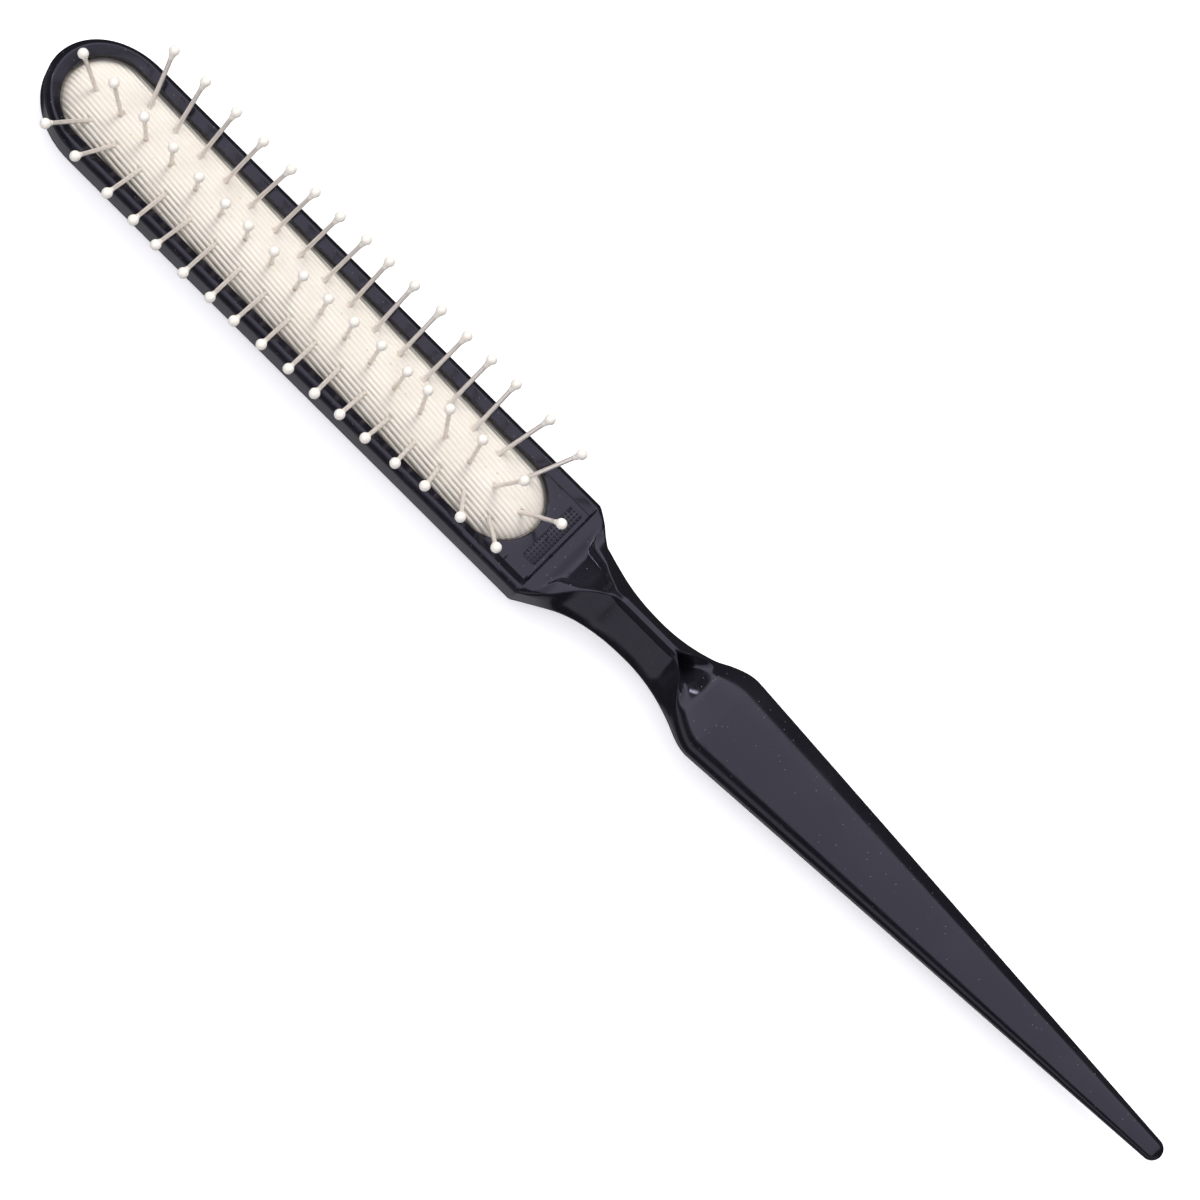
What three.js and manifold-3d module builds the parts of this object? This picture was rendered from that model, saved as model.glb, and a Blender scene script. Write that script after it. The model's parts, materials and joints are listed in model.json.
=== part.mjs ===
// A slim cushion brush with a rat tail handle, in millimetres.
// +X runs along the brush from the round nose of the head to the tip of the tail, +Z is the way the
// pins stand, and the origin lies on the resting face, under the middle of the length.

import * as THREE from 'three';
import { LoftGeometry } from 'three/addons/geometries/LoftGeometry.js';
import { mergeVertices } from 'three/addons/utils/BufferGeometryUtils.js';
import Module from 'manifold-3d';

// Whole brush
const LENGTH = 222.2;
const NOSE_X = -LENGTH / 2;
const TAIL_X = LENGTH / 2;
const GAP = 0.3; // clearance kept between touching pieces

// Head: a flat-rimmed tray with a rounded back
const HEAD_HALF_WIDTH = 9.05;
const RIM_HEIGHT = 9;
const RIM_WIDTH = 2.3;
const NOSE_RADIUS = 11.5; // along X: the nose is a half ellipse, longer than a half circle
const BACK_RADIUS = 3.8; // rounding between the side walls and the resting face
const SHOULDER_X = -10.9;
const BAR_LENGTH = 2.3; // flat bar that closes the tray at the neck end

// Neck: a tall waist with a narrow ridge on top
const NECK_X = 7.1;
const NECK_HALF_WIDTH = 3.8;
const NECK_TOP = 13.8;
const NECK_NARROWING = 2.3; // power by which the shoulders draw in to the waist
const NECK_LIFT = 1.8; // how far the waist stands clear of the resting surface
const ARCH_START_X = -11.9; // the clearance under the neck opens from here to the next
const ARCH_FULL_X = 3.1;
const ARCH_END_X = 21.7; // where it has narrowed to the clearance under the handle
const RIDGE_HALF_WIDTH = 0.4;
const RIDGE_START_X = 0;
const RIDGE_FULL_X = 1; // where the ridge has reached its full height
const RIDGE_RISE = 1.2; // power that delays its climb from the bar
const RIDGE_END_X = 11.3;
const FACET_FLARE = 0.6; // how fast the top widens again from the ridge towards the handle
const FACET_FALL = 0.27; // how fast its edges drop there
const SHOULDER_FLARE = 1.4; // power by which it widens towards the shoulders
const WIDEST_HEIGHT = 5.6; // level of the neck's and the handle's greatest width
const WIDEST_SETTLED_X = -1.9; // from the shoulders to here that level climbs from the head's
const SCOOP_DEPTH = 2.1; // hollow between the ridge and the handle's crown
const SCOOP_X = 15.1;
const SCOOP_REACH = 2.4;

// Handle: an oval tapering to a round tip
const HANDLE_X = 22.7;
const HANDLE_HALF_WIDTH = 7.55;
const HANDLE_FLARE = 3.6; // widening from the waist, over this length
const HANDLE_FLARE_LENGTH = 13.6;
const FLARE_BLEND = 1.2; // rounds the corner between the flare and the taper
const HANDLE_CROWN = 6.4; // crown above the widest level, where the handle is thickest
const HANDLE_BELLY = 5; // belly below it, just clear of the resting surface
const ROUND_START_X = 14.3; // the faceted neck turns into the oval handle between these
const ROUND_FULL_X = 21.7;
const MOST_CORNER = 0.9; // share of the half width that the lower corners may take
const TIP_RADIUS = 1.7;
const TIP_HEIGHT = 4.9; // the tail's axis sinks to this level at its tip

// Tray and rubber cushion
const TRAY_FLOOR = 8; // shallow floor between the cushion and the bar
const POCKET_NOSE_X = -108.2;
const POCKET_NECK_X = -15.3;
const POCKET_HALF_WIDTH = HEAD_HALF_WIDTH - RIM_WIDTH;
const POCKET_END_RADIUS = 7.1; // along X, as on the nose
const CHAMBER_FLOOR = 2.3; // bottom of the air chamber under the cushion
const GROOVE_DEPTH = 0.9; // undercut that holds the cushion's bead
const GROOVE_LOW = 4.7;
const GROOVE_HIGH = 6.2;
const CUSHION_EDGE_HEIGHT = 6.5;
const CUSHION_CROWN = 1.6;
const RUBBER_THICKNESS = 1.7;
const CROWN_WIDTHS = [5.6, 3.6, 1]; // half widths at which the crown is drawn

// Wire pins with ball tips
const PIN_PITCH = 5;
const ROW_SPACING = 3.8;
const WIRE_RADIUS = 0.34;
const BALL_RADIUS = 0.82;
const PIN_STAND = 10.3; // rubber surface to ball centre
const HEAD_RADIUS = 0.7; // flattened head under the rubber
const HEAD_THICKNESS = 0.4;
const PIN_BELOW = 3.2; // rubber surface to the underside of the head
const PIVOT_BELOW = 1; // depth of the point about which a pin rocks
const PIN_SIDES = 6;
const END_STEPS = 10; // straight pieces in each rounded end of the tray and the cushion

// Each row: side across the brush, place of its first pin, how many, and how far the pins lean, in
// degrees: fan to the side, then the outward lean at the nose and neck ends with its reach in pins,
// the tuck back towards the middle at the neck, and a stretch of pins that use has pushed askew.
const ROWS = [
  {
    name: 'pin_left', side: 1, firstX: -96.5, count: 16, fan: 43,
    noseLean: 16, noseReach: 1.2, neckLean: 19, neckReach: 1.2, neckTuck: 0,
    skewLean: 5, skewX: -72, skewReach: 9,
  },
  {
    name: 'pin_middle', side: 0, firstX: -103.6, count: 18, fan: 0,
    noseLean: 23, noseReach: 1.9, neckLean: 33, neckReach: 1.1, neckTuck: 4,
    skewLean: -10, skewX: -34, skewReach: 6,
  },
  {
    name: 'pin_right', side: -1, firstX: -101.1, count: 17, fan: -42.5,
    noseLean: 18, noseReach: 1.4, neckLean: 22, neckReach: 1.5, neckTuck: 12,
    skewLean: 2, skewX: -60, skewReach: 20,
  },
];
const TUCK_REACH = 3; // pins over which a row tucks in towards the neck
const SAG_LEAN = 9; // all pins lean this much to the right where the cushion has settled
const SAG_X = -77;
const SAG_REACH = 22;
const WOBBLE = 1.2; // small unevenness of the hand-set pins
const WOBBLE_STEP = 1.7; // turn of the wobble from pin to pin
const WOBBLE_SIDE = 2; // and from row to row

// How finely the moulding is drawn, in degrees round its ends and in millimetres along it
const NOSE_FIRST = 9;
const NOSE_STEP = 11.5;
const NECK_STEP = 1.55;
const HANDLE_STEP = 14;
const TIP_STEP = 20;
const UPPER_POINTS = 6;
const LOWER_POINTS = 4;

const radians = THREE.MathUtils.degToRad;
const { smoothstep, lerp } = THREE.MathUtils;
const bell = (distance, reach) => Math.exp(-((distance / reach) ** 2));

// ---------------------------------------------------------------- solids

const wasm = await Module();
wasm.setup();

// The same surface with shared corners, as a closed body needs them.
function joined(geometry) {
  const bare = new THREE.BufferGeometry();
  bare.setAttribute('position', geometry.attributes.position);
  bare.setIndex(geometry.index);
  return mergeVertices(bare, 1e-4);
}

function toSolid(shared) {
  const triVerts = new Uint32Array(shared.index.array);
  const vertProperties = new Float32Array(shared.attributes.position.array);
  return new wasm.Manifold(new wasm.Mesh({ numProp: 3, vertProperties, triVerts }));
}

function loft(sections) {
  return toSolid(joined(new LoftGeometry(sections, { capStart: true, capEnd: true })));
}

function toGeometry(solid) {
  const { vertProperties, triVerts } = solid.getMesh();
  const geometry = new THREE.BufferGeometry();
  geometry.setAttribute('position', new THREE.Float32BufferAttribute(vertProperties, 3));
  geometry.setIndex(new THREE.Uint32BufferAttribute(triVerts, 1));
  geometry.computeVertexNormals();
  return geometry;
}

// ---------------------------------------------------------------- handle and head

const TAPER = (HANDLE_HALF_WIDTH - TIP_RADIUS) / (TAIL_X - TIP_RADIUS - HANDLE_X);
const TIP_X = TAIL_X - TIP_RADIUS;

// Half the width of the moulding, seen from above.
function halfWidth(x) {
  if (x < NOSE_X + NOSE_RADIUS) {
    const along = (NOSE_X + NOSE_RADIUS - x) / NOSE_RADIUS;
    return HEAD_HALF_WIDTH * Math.sqrt(1 - along * along);
  }
  if (x <= SHOULDER_X) return HEAD_HALF_WIDTH;
  if (x > TIP_X) return Math.sqrt(Math.max(TIP_RADIUS ** 2 - (x - TIP_X) ** 2, 0));
  const handle = HANDLE_HALF_WIDTH - TAPER * (x - HANDLE_X);
  if (x < NECK_X) {
    const along = (NECK_X - x) / (NECK_X - SHOULDER_X);
    return NECK_HALF_WIDTH + (HEAD_HALF_WIDTH - NECK_HALF_WIDTH) * along ** NECK_NARROWING;
  }
  const flare = NECK_HALF_WIDTH + HANDLE_FLARE * ((x - NECK_X) / HANDLE_FLARE_LENGTH) ** 2;
  const blend = Math.max(FLARE_BLEND - Math.abs(flare - handle), 0);
  return Math.min(flare, handle) - blend ** 2 / (4 * FLARE_BLEND);
}

// Level of the greatest width.
function axisHeight(x) {
  const along = THREE.MathUtils.clamp((x - HANDLE_X) / (TIP_X - HANDLE_X), 0, 1);
  return lerp(WIDEST_HEIGHT, TIP_HEIGHT, along);
}

// A depth that the handle has at its thickest, carried down the taper to the radius of the tip.
function tapered(depth, x) {
  if (x > TIP_X) return halfWidth(x);
  const left = (halfWidth(x) - TIP_RADIUS) / (HANDLE_HALF_WIDTH - TIP_RADIUS);
  return lerp(TIP_RADIUS, depth, Math.min(left, 1));
}

// Height of the ridge, from the bar's top up to the neck's.
function ridgeHeight(x) {
  return lerp(RIM_HEIGHT, NECK_TOP, smoothstep(x, SHOULDER_X + BAR_LENGTH, RIDGE_FULL_X) ** RIDGE_RISE);
}

// Height of the middle line of the top.
function topHeight(x) {
  if (x <= RIDGE_END_X) return ridgeHeight(x);
  const crown = x < HANDLE_X ? HANDLE_CROWN : tapered(HANDLE_CROWN, x);
  return axisHeight(x) + crown - SCOOP_DEPTH * bell(x - SCOOP_X, SCOOP_REACH);
}

// Height of the underside's middle line.
function bottomHeight(x) {
  const fromNose = x - NOSE_X;
  if (fromNose < BACK_RADIUS) {
    return BACK_RADIUS - Math.sqrt(BACK_RADIUS ** 2 - (BACK_RADIUS - fromNose) ** 2);
  }
  if (x > HANDLE_X) return axisHeight(x) - tapered(HANDLE_BELLY, x);
  const lift = lerp(NECK_LIFT, WIDEST_HEIGHT - HANDLE_BELLY, smoothstep(x, NECK_X, ARCH_END_X));
  return lift * smoothstep(x, ARCH_START_X, ARCH_FULL_X);
}

// Half the width of the flat top: the whole rim on the head, a ridge on the neck.
function topHalfWidth(x) {
  if (x <= SHOULDER_X) return halfWidth(x);
  const shoulderward = Math.max((RIDGE_START_X - x) / (RIDGE_START_X - SHOULDER_X), 0);
  const towardsHead = lerp(RIDGE_HALF_WIDTH, HEAD_HALF_WIDTH, shoulderward ** SHOULDER_FLARE);
  const towardsTail = RIDGE_HALF_WIDTH + FACET_FLARE * Math.max(x - RIDGE_END_X, 0);
  return Math.min(Math.max(towardsHead, towardsTail), halfWidth(x));
}

// One cross-section, counter-clockwise as seen from the tail.
function section(x) {
  const a = halfWidth(x);
  const top = topHeight(x);
  const bottom = bottomHeight(x);
  const widest = lerp(BACK_RADIUS, axisHeight(x), smoothstep(x, SHOULDER_X, WIDEST_SETTLED_X));
  const roundTop = smoothstep(x, ROUND_START_X, ROUND_FULL_X);
  const edgeHalf = topHalfWidth(x);
  const edgeTop = ridgeHeight(x) - FACET_FALL * Math.max(x - RIDGE_END_X, 0);
  const cornerWidth = Math.min(lerp(BACK_RADIUS, a, smoothstep(x, SHOULDER_X, NECK_X)), MOST_CORNER * a);

  // Upper quarter: from the widest point up to the edge of the top, then in to the middle.
  const upper = [];
  const half = UPPER_POINTS / 2;
  for (let i = 0; i <= UPPER_POINTS; i += 1) {
    const quarter = (i / UPPER_POINTS) * (Math.PI / 2);
    const oval = new THREE.Vector2(a * Math.cos(quarter), lerp(widest, top, Math.sin(quarter)));
    const edge = new THREE.Vector2(edgeHalf, edgeTop);
    const facet = i <= half
      ? new THREE.Vector2(a, widest).lerp(edge, i / half)
      : edge.lerp(new THREE.Vector2(0, top), i / half - 1);
    upper.push(facet.lerp(oval, roundTop));
  }

  // Lower quarter: from the widest point round the corner to the middle of the underside.
  const lower = [];
  for (let i = 1; i <= LOWER_POINTS; i += 1) {
    const quarter = (i / LOWER_POINTS) * (Math.PI / 2);
    const y = a - cornerWidth * (1 - Math.cos(quarter));
    lower.push(new THREE.Vector2(y, lerp(widest, bottom, Math.sin(quarter))));
  }
  lower.push(new THREE.Vector2(0, bottom));

  const right = upper.slice(0, -1).reverse().map((p) => new THREE.Vector2(-p.x, p.y));
  const rightBelow = lower.slice(0, -1).map((p) => new THREE.Vector2(-p.x, p.y));
  const leftBelow = lower.slice().reverse();
  return [...upper, ...right, ...rightBelow, ...leftBelow].map((p) => new THREE.Vector3(x, p.x, p.y));
}

const bodyStations = [];
for (let degrees = NOSE_FIRST; degrees < 90; degrees += NOSE_STEP) {
  bodyStations.push(NOSE_X + NOSE_RADIUS * (1 - Math.cos(radians(degrees))));
}
bodyStations.push(SHOULDER_X);
for (let x = SHOULDER_X + GAP; x < HANDLE_X; x += NECK_STEP) bodyStations.push(x);
for (let x = HANDLE_X; x < TIP_X; x += HANDLE_STEP) bodyStations.push(x);
for (let degrees = 0; degrees < 90; degrees += TIP_STEP) {
  bodyStations.push(TIP_X + TIP_RADIUS * Math.sin(radians(degrees)));
}

const moulding = loft(bodyStations.map((x) => section(x)));

// Plan outline with half-elliptical ends, spread outwards by `grow`.
function padOutline(grow) {
  const width = POCKET_HALF_WIDTH + grow;
  const radius = POCKET_END_RADIUS + grow;
  const nose = POCKET_NOSE_X + POCKET_END_RADIUS;
  const neck = POCKET_NECK_X - POCKET_END_RADIUS;
  const points = [];
  for (let i = 0; i <= END_STEPS; i += 1) {
    const turn = Math.PI * (i / END_STEPS - 0.5);
    points.push(new THREE.Vector2(neck + radius * Math.cos(turn), width * Math.sin(turn)));
  }
  for (let i = 0; i <= END_STEPS; i += 1) {
    const turn = Math.PI * (i / END_STEPS + 0.5);
    points.push(new THREE.Vector2(nose + radius * Math.cos(turn), width * Math.sin(turn)));
  }
  return points;
}

function slab(outline, low, high) {
  const shape = new THREE.Shape(outline);
  const geometry = new THREE.ExtrudeGeometry(shape, { depth: high - low, bevelEnabled: false });
  return toSolid(joined(geometry).translate(0, 0, low));
}

function trayOutline() {
  const nose = padOutline(0).slice(END_STEPS + 1);
  return [
    new THREE.Vector2(SHOULDER_X, -POCKET_HALF_WIDTH),
    new THREE.Vector2(SHOULDER_X, POCKET_HALF_WIDTH),
    ...nose,
  ];
}

const above = RIM_HEIGHT + 1;
const handleBody = moulding
  .subtract(slab(trayOutline(), TRAY_FLOOR, above))
  .subtract(slab(padOutline(0), CHAMBER_FLOOR, above))
  .subtract(slab(padOutline(GROOVE_DEPTH), GROOVE_LOW, GROOVE_HIGH));

// ---------------------------------------------------------------- rubber cushion

const CUSHION_HALF_WIDTH = POCKET_HALF_WIDTH - GAP;

// Height of the rubber's crowned upper face at a point of its plan.
function cushionHeight(x, y) {
  const radius = POCKET_END_RADIUS - GAP;
  const past = Math.max(POCKET_NOSE_X + POCKET_END_RADIUS - x, x - POCKET_NECK_X + POCKET_END_RADIUS, 0);
  const outness = (past / radius) ** 2 + (y / CUSHION_HALF_WIDTH) ** 2;
  return CUSHION_EDGE_HEIGHT + CUSHION_CROWN * (1 - outness);
}

// One closed ring of the pad at a half width and a height.
function padRing(width, height) {
  const share = width / POCKET_HALF_WIDTH;
  const nose = POCKET_NOSE_X + POCKET_END_RADIUS;
  const neck = POCKET_NECK_X - POCKET_END_RADIUS;
  return padOutline(0).map((p) => {
    const centre = p.x < (nose + neck) / 2 ? nose : neck;
    return new THREE.Vector3(centre + (p.x - centre) * share, p.y * share, height);
  });
}

const crowned = (width) => cushionHeight(0.5 * (POCKET_NOSE_X + POCKET_NECK_X), width);
const beadWidth = POCKET_HALF_WIDTH + GROOVE_DEPTH - GAP;
const rubberBlock = loft([
  padRing(beadWidth, GROOVE_LOW + GAP),
  padRing(beadWidth, GROOVE_HIGH - GAP),
  padRing(CUSHION_HALF_WIDTH, GROOVE_HIGH - GAP),
  padRing(CUSHION_HALF_WIDTH, CUSHION_EDGE_HEIGHT),
  ...CROWN_WIDTHS.map((width) => padRing(width, crowned(width))),
]);
const hollowBelow = loft([
  padRing(CROWN_WIDTHS[0], CHAMBER_FLOOR),
  ...CROWN_WIDTHS.map((width) => padRing(width, crowned(width) - RUBBER_THICKNESS)),
]);
let cushion = rubberBlock.subtract(hollowBelow);

// ---------------------------------------------------------------- pins

// Direction of a pin from the rubber to its ball.
function pinDirection(row, index, x) {
  const fromNeck = row.count - 1 - index;
  const flare = row.neckLean * bell(fromNeck, row.neckReach) - row.noseLean * bell(index, row.noseReach);
  const skew = row.skewLean * bell(x - row.skewX, row.skewReach);
  const along = flare + skew + WOBBLE * Math.sin(WOBBLE_STEP * index + WOBBLE_SIDE * row.side);
  const sag = SAG_LEAN * bell(x - SAG_X, SAG_REACH);
  const across = row.fan - sag + row.neckTuck * bell(fromNeck, TUCK_REACH);
  const lean = radians(along);
  const fan = radians(across);
  return new THREE.Vector3(Math.sin(lean), Math.cos(lean) * Math.sin(fan), Math.cos(lean) * Math.cos(fan));
}

function pinGeometry() {
  const ballStart = Math.asin(WIRE_RADIUS / BALL_RADIUS);
  const profile = [
    new THREE.Vector2(0, -PIN_BELOW),
    new THREE.Vector2(HEAD_RADIUS, -PIN_BELOW),
    new THREE.Vector2(HEAD_RADIUS, HEAD_THICKNESS - PIN_BELOW),
    new THREE.Vector2(WIRE_RADIUS, HEAD_THICKNESS - PIN_BELOW),
  ];
  for (let i = 0; i <= 4; i += 1) {
    const turn = ballStart + (i / 4) * (Math.PI - ballStart);
    const reach = i === 4 ? 0 : BALL_RADIUS * Math.sin(turn);
    profile.push(new THREE.Vector2(reach, PIN_STAND - BALL_RADIUS * Math.cos(turn)));
  }
  return new THREE.LatheGeometry(profile, PIN_SIDES);
}

const up = new THREE.Vector3(0, 1, 0);
const holeRadius = (WIRE_RADIUS + GAP) / Math.cos(Math.PI / PIN_SIDES);
const steel = new THREE.MeshStandardMaterial({ color: 0xb9b3ab, roughness: 0.3, metalness: 1 });
const pins = [];

for (const row of ROWS) {
  for (let index = 0; index < row.count; index += 1) {
    const x = row.firstX + PIN_PITCH * index;
    const y = ROW_SPACING * row.side;
    const direction = pinDirection(row, index, x);
    const pin = new THREE.Mesh(pinGeometry(), steel.clone());
    pin.name = `${row.name}_${String(index + 1).padStart(2, '0')}`;
    pin.position.set(x, y, cushionHeight(x, y));
    pin.quaternion.setFromUnitVectors(up, direction);
    pin.userData.pivot = pin.position.clone().addScaledVector(direction, -PIVOT_BELOW);
    pins.push(pin);

    const hole = joined(new THREE.CylinderGeometry(holeRadius, holeRadius, 2 * PIN_BELOW, PIN_SIDES));
    hole.applyQuaternion(pin.quaternion).translate(...pin.position);
    cushion = cushion.subtract(toSolid(hole));
  }
}

// ---------------------------------------------------------------- assembly

const brush = new THREE.Group();

const body = new THREE.Mesh(
  toGeometry(handleBody),
  new THREE.MeshStandardMaterial({ color: 0x0b0b0e, roughness: 0.16, metalness: 0 }),
);
body.name = 'handle_body';

const pad = new THREE.Mesh(
  toGeometry(cushion),
  new THREE.MeshStandardMaterial({ color: 0xeee3d6, roughness: 0.75, metalness: 0 }),
);
pad.name = 'rubber_cushion';

brush.add(body, pad, ...pins);

export default brush;
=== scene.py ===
# A slim cushion brush with a rat tail handle, in metres: a black moulding, a ribbed rubber cushion
# and three rows of wire pins with ivory tips. +X runs from the nose to the tail, +Z is the way the
# pins stand.
import json
import math

import bmesh
import bpy
import numpy as np
from mathutils import Matrix, Vector


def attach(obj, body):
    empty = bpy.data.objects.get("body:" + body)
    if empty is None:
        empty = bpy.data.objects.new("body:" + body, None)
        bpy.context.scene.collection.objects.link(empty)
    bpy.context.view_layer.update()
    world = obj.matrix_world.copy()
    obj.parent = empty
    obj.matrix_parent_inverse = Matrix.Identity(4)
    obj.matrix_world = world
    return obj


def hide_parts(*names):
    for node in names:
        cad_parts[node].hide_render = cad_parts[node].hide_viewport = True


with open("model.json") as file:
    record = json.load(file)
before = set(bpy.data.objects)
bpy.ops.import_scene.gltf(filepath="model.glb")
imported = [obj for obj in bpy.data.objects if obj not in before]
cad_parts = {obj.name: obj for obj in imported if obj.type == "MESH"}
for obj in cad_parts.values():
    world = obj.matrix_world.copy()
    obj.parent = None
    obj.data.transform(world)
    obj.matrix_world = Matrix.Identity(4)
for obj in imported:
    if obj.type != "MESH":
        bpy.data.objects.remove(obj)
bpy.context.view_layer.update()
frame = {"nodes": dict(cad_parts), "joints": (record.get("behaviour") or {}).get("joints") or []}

MM = 0.001

# ---------------------------------------------------------------- camera
# Looks down on the brush from in front of it, turned so that the tail points down to the right.

CAMERA_RISE = math.radians(73.5)
CAMERA_AWAY = 1.0
VIEW_WIDTH = 0.1705
SLANT = math.radians(44.87)
SENSOR_WIDTH = 36.0
AIM_MM = (-1.6, 0, 9)
AIM_DROP_MM = 1.22

level = Vector((1, 0, 0))
upward = Vector((0, math.sin(CAMERA_RISE), math.cos(CAMERA_RISE)))
backward = Vector((0, -math.cos(CAMERA_RISE), math.sin(CAMERA_RISE)))
camera_right = math.cos(SLANT) * level + math.sin(SLANT) * upward
camera_up = math.cos(SLANT) * upward - math.sin(SLANT) * level
aim = MM * (Vector(AIM_MM) - AIM_DROP_MM * upward)

camera = bpy.data.objects.new("camera", bpy.data.cameras.new("camera"))
camera.data.sensor_width = SENSOR_WIDTH
camera.data.lens = SENSOR_WIDTH * CAMERA_AWAY / VIEW_WIDTH
camera.data.clip_start = 0.05
camera.data.clip_end = 20
camera.matrix_world = (
    Matrix.Translation(aim + CAMERA_AWAY * backward)
    @ Matrix((camera_right, camera_up, backward)).transposed().to_4x4()
)
bpy.context.scene.collection.objects.link(camera)
bpy.context.scene.camera = camera
bpy.context.scene.view_settings.view_transform = "Standard"

# ---------------------------------------------------------------- table and light
# A pale table under a long soft light overhead, which falls away towards the tail between dark sides.
# Two weaker glows in front draw the slopes and the upright walls, a small lamp puts a glint in the
# hollows, and a key light from behind rakes the ribs of the rubber.

TABLE_HALF = 4.0
TABLE_SEEN = (0.93, 0.93, 0.93, 1)
TABLE_GLOW = 0.42


class Nodes:
    """A node tree, with short calls to place its nodes and join them."""

    def __init__(self, tree):
        self.tree = tree

    def add(self, kind, **settings):
        node = self.tree.nodes.new(kind)
        for name, value in settings.items():
            setattr(node, name, value)
        return node

    def feed(self, socket, value):
        if isinstance(value, bpy.types.NodeSocket):
            self.tree.links.new(value, socket)
        else:
            socket.default_value = value

    def maths(self, operation, *values, clamp=False):
        node = self.add("ShaderNodeMath", operation=operation, use_clamp=clamp)
        for socket, value in zip(node.inputs, values):
            self.feed(socket, value)
        return node.outputs[0]

    def ramp(self, value, low, high, to_low=0.0, to_high=1.0):
        node = self.add("ShaderNodeMapRange", interpolation_type="SMOOTHSTEP")
        for name, given in zip(
            ("Value", "From Min", "From Max", "To Min", "To Max"), (value, low, high, to_low, to_high)
        ):
            self.feed(node.inputs[name], given)
        return node.outputs["Result"]

    def blend(self, factor, first, second):
        node = self.add("ShaderNodeMix", data_type="RGBA")
        self.feed(node.inputs["Factor"], factor)
        self.feed(node.inputs["A"], first)
        self.feed(node.inputs["B"], second)
        return node.outputs["Result"]


def new_material(name):
    """A material with one Principled shader, its node tree and that shader."""
    material = bpy.data.materials.new(name)
    material.use_nodes = True
    material.node_tree.nodes.clear()
    nodes = Nodes(material.node_tree)
    shader = nodes.add("ShaderNodeBsdfPrincipled")
    output = nodes.add("ShaderNodeOutputMaterial")
    nodes.feed(output.inputs["Surface"], shader.outputs["BSDF"])
    return material, nodes, shader


def new_piece(name, points, faces, material):
    """A mesh object from points in millimetres."""
    mesh = bpy.data.meshes.new(name)
    mesh.from_pydata([tuple(c * MM for c in p) for p in points], [], faces)
    mesh.materials.append(material)
    mesh.validate()
    mesh.shade_smooth()
    piece = bpy.data.objects.new(name, mesh)
    bpy.context.scene.collection.objects.link(piece)
    return piece


table_material, nodes, shader = new_material("table")
seen = nodes.add("ShaderNodeLightPath").outputs["Is Camera Ray"]
nodes.feed(shader.inputs["Base Color"], nodes.blend(seen, (0.5, 0.5, 0.5, 1), TABLE_SEEN))
nodes.feed(shader.inputs["Roughness"], 0.9)
nodes.feed(shader.inputs["Emission Color"], nodes.blend(seen, (0, 0, 0, 1), (TABLE_GLOW,) * 3 + (1,)))
nodes.feed(shader.inputs["Emission Strength"], 1.0)
half = TABLE_HALF / MM
table = new_piece(
    "table",
    [(-half, -half, 0), (half, -half, 0), (half, half, 0), (-half, half, 0)],
    [(0, 1, 2, 3)],
    table_material,
)
table.visible_glossy = False

STUDIO_COLOUR = (0.965, 0.955, 1.04, 1)
STUDIO_DARK = 0.02
BACKDROP = 0.98
OVERHEAD = 1.4
OVERHEAD_FRONT = -81.0  # degrees from straight up where the overhead light ends, towards -Y
OVERHEAD_BACK = 67.0
OVERHEAD_SIDE = 45.0
OVERHEAD_FALL = (1.12, 0.62)  # share of the light 40 degrees to the nose's side and to the tail's
LOW_GLOW = 0.55
LOW_GLOW_ANGLE = -111.0
LOW_GLOW_REACH = (6, 11)  # degrees either side where a glow is still full, and where it ends
SHEET_GLOW = 0.27
SHEET_GLOW_ANGLE = -163.0
SHEET_GLOW_REACH = (13, 20)
LAMP = 12.0
LAMP_WAY = (-0.82, -0.1, 0.57)
LAMP_EDGE = (0.9955, 0.9985)  # cosines of the angle from its middle
KEY_SIZE = 0.35
KEY_ENERGY = 4.6
KEY_COLOUR = (1.0, 0.98, 0.95)
KEY_PLACE = (-0.2, 0.6, 0.75)
KEY_AIM = (-0.06, 0, 0)

world = bpy.data.worlds.new("studio")
bpy.context.scene.world = world
world.use_nodes = True
world.node_tree.nodes.clear()
nodes = Nodes(world.node_tree)
direction = nodes.add("ShaderNodeSeparateXYZ")
nodes.feed(direction.inputs[0], nodes.add("ShaderNodeTexCoord").outputs["Generated"])
east, north, up = direction.outputs
across = nodes.maths("DEGREES", nodes.maths("ARCTAN2", north, up))
flat_up = nodes.maths("SQRT", nodes.maths("ADD", nodes.maths("MULTIPLY", north, north),
                                          nodes.maths("MULTIPLY", up, up)))
along = nodes.maths("DEGREES", nodes.maths("ARCTAN2", east, flat_up))
beside = nodes.maths("ABSOLUTE", along)
overhead = nodes.maths(
    "MULTIPLY",
    nodes.maths(
        "MULTIPLY",
        nodes.ramp(across, OVERHEAD_FRONT - 3, OVERHEAD_FRONT + 3),
        nodes.ramp(across, OVERHEAD_BACK - 3, OVERHEAD_BACK + 3, 1, 0),
    ),
    nodes.ramp(beside, OVERHEAD_SIDE - 5, OVERHEAD_SIDE + 5, OVERHEAD, 0),
)
off_glow = nodes.maths("ABSOLUTE", nodes.maths("SUBTRACT", across, LOW_GLOW_ANGLE))
glow = nodes.ramp(off_glow, *LOW_GLOW_REACH, LOW_GLOW, 0)
off_sheet = nodes.maths("ABSOLUTE", nodes.maths("SUBTRACT", across, SHEET_GLOW_ANGLE))
glow = nodes.maths("ADD", glow, nodes.ramp(off_sheet, *SHEET_GLOW_REACH, SHEET_GLOW, 0))
overhead = nodes.maths("MULTIPLY", overhead, nodes.ramp(along, -40, 40, *OVERHEAD_FALL))
lamp_way = nodes.add("ShaderNodeVectorMath", operation="DOT_PRODUCT")
nodes.feed(lamp_way.inputs[0], nodes.add("ShaderNodeTexCoord").outputs["Generated"])
nodes.feed(lamp_way.inputs[1], Vector(LAMP_WAY).normalized())
lamp = nodes.ramp(lamp_way.outputs["Value"], *LAMP_EDGE, 0, LAMP)
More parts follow.
